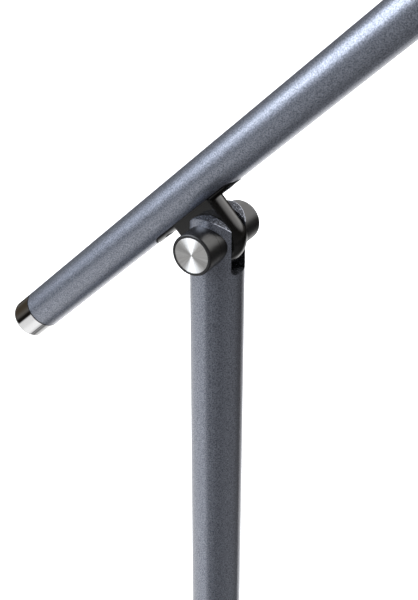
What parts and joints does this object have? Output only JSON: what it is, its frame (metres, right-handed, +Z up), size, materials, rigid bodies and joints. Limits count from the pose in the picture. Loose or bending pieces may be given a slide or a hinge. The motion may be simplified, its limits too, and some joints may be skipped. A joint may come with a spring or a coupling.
{
  "type": "desk lamp",
  "caption": "Desk lamp with a round pole on a weighted disc base and a long tubular arm tilting on a forked clamp joint, ending in a round lamp head.",
  "frame": {"origin": "point on the desk surface where the pole's axis meets it", "axes": "+Z up along the pole; +X the way the arm rises and the head reaches; +Y along the tilt joint's bolt, away from the clamp knob"},
  "size_m": [0.5168, 0.22, 0.6669],
  "materials": {
    "paint": "satin metallic blue-grey paint with fine flake on steel",
    "paint_alloy": "satin metallic blue-grey paint with fine flake on aluminium",
    "paint_dark": "thin dark grey paint on machined steel",
    "black_metal": "gloss black coated steel",
    "black_gloss": "gloss black moulded plastic",
    "black_plastic": "matt black moulded plastic",
    "black_steel": "matt black powder coat",
    "plated": "polished chrome plate",
    "spun_aluminium": "circular spun brushed face",
    "steel": "plain zinc plated steel",
    "brass": "plain turned brass",
    "rubber": "soft black rubber",
    "lead": "black insulated two-core lead",
    "board": "white solder mask on aluminium board",
    "led": "yellow phosphor LED packages",
    "opal": "opal diffusing plastic"
  },
  "bodies": {
    "base": {"base_cover": "paint", "base_weight": "steel", "base_plate": "black_steel", "base_spacers": "black_plastic", "base_screws": "steel", "base_feet": "rubber", "swivel_bush": "black_plastic", "base_contact": "brass", "dc_inlet": "black_plastic", "inlet_nut": "plated", "base_lead": "lead", "switch_body": "black_plastic", "switch_bezel": "plated"},
    "button": {"button_cap": "black_gloss"},
    "pole": {"pole_spigot": "plated", "pole_washer": "steel", "pole_nut": "steel", "pole_contact": "brass", "pole_tube": "paint", "fork_insert": "paint_dark", "fork_terminal": "brass", "pole_lead": "lead", "rear_saddle": "black_gloss", "rear_knob": "black_gloss", "front_saddle": "black_gloss", "pivot_bolt": "steel", "side_washers": "black_plastic"},
    "clamp_knob": {"front_knob": "black_gloss", "knob_insert": "brass", "knob_disc": "spun_aluminium"},
    "arm": {"arm_tube": "paint_alloy", "hinge_bracket": "black_metal", "bracket_screws": "steel", "bracket_strip": "steel", "pivot_bush": "brass", "tail_weight": "steel", "end_cap": "plated", "arm_lead": "lead", "arm_nose": "paint_alloy"},
    "head": {"head_shell": "paint_alloy", "led_board": "board", "led_chips": "led", "diffuser": "opal", "head_bezel": "black_plastic", "head_fork": "paint_alloy", "fork_screws": "steel", "head_bolt": "steel", "head_nut": "plated", "head_washers": "steel"}
  },
  "joints": [
    {"name": "pole_swivel", "type": "hinge", "parent": "base", "child": "pole", "pos_m": [0, 0, 0.03], "axis": [0, 0, 1], "continuous": true},
    {"name": "arm_tilt", "type": "hinge", "parent": "pole", "child": "arm", "pos_m": [0, 0, 0.4], "axis": [0, -1, 0], "range_deg": [-60, 42]},
    {"name": "head_tilt", "type": "hinge", "parent": "arm", "child": "head", "pos_m": [0.23438, 0, 0.65835], "axis": [0, -1, 0], "range_deg": [-60, 80]},
    {"name": "clamp_turn", "type": "hinge", "parent": "pole", "child": "clamp_knob", "pos_m": [0, -0.018, 0.4], "axis": [0, -1, 0], "range_deg": [0, 180]},
    {"name": "button_press", "type": "slide", "parent": "base", "child": "button", "axis": [0, 0, -1], "range_m": [0, 0.0018], "stiffness_N_per_m": 900, "springref_m": -0.0004}
  ]
}
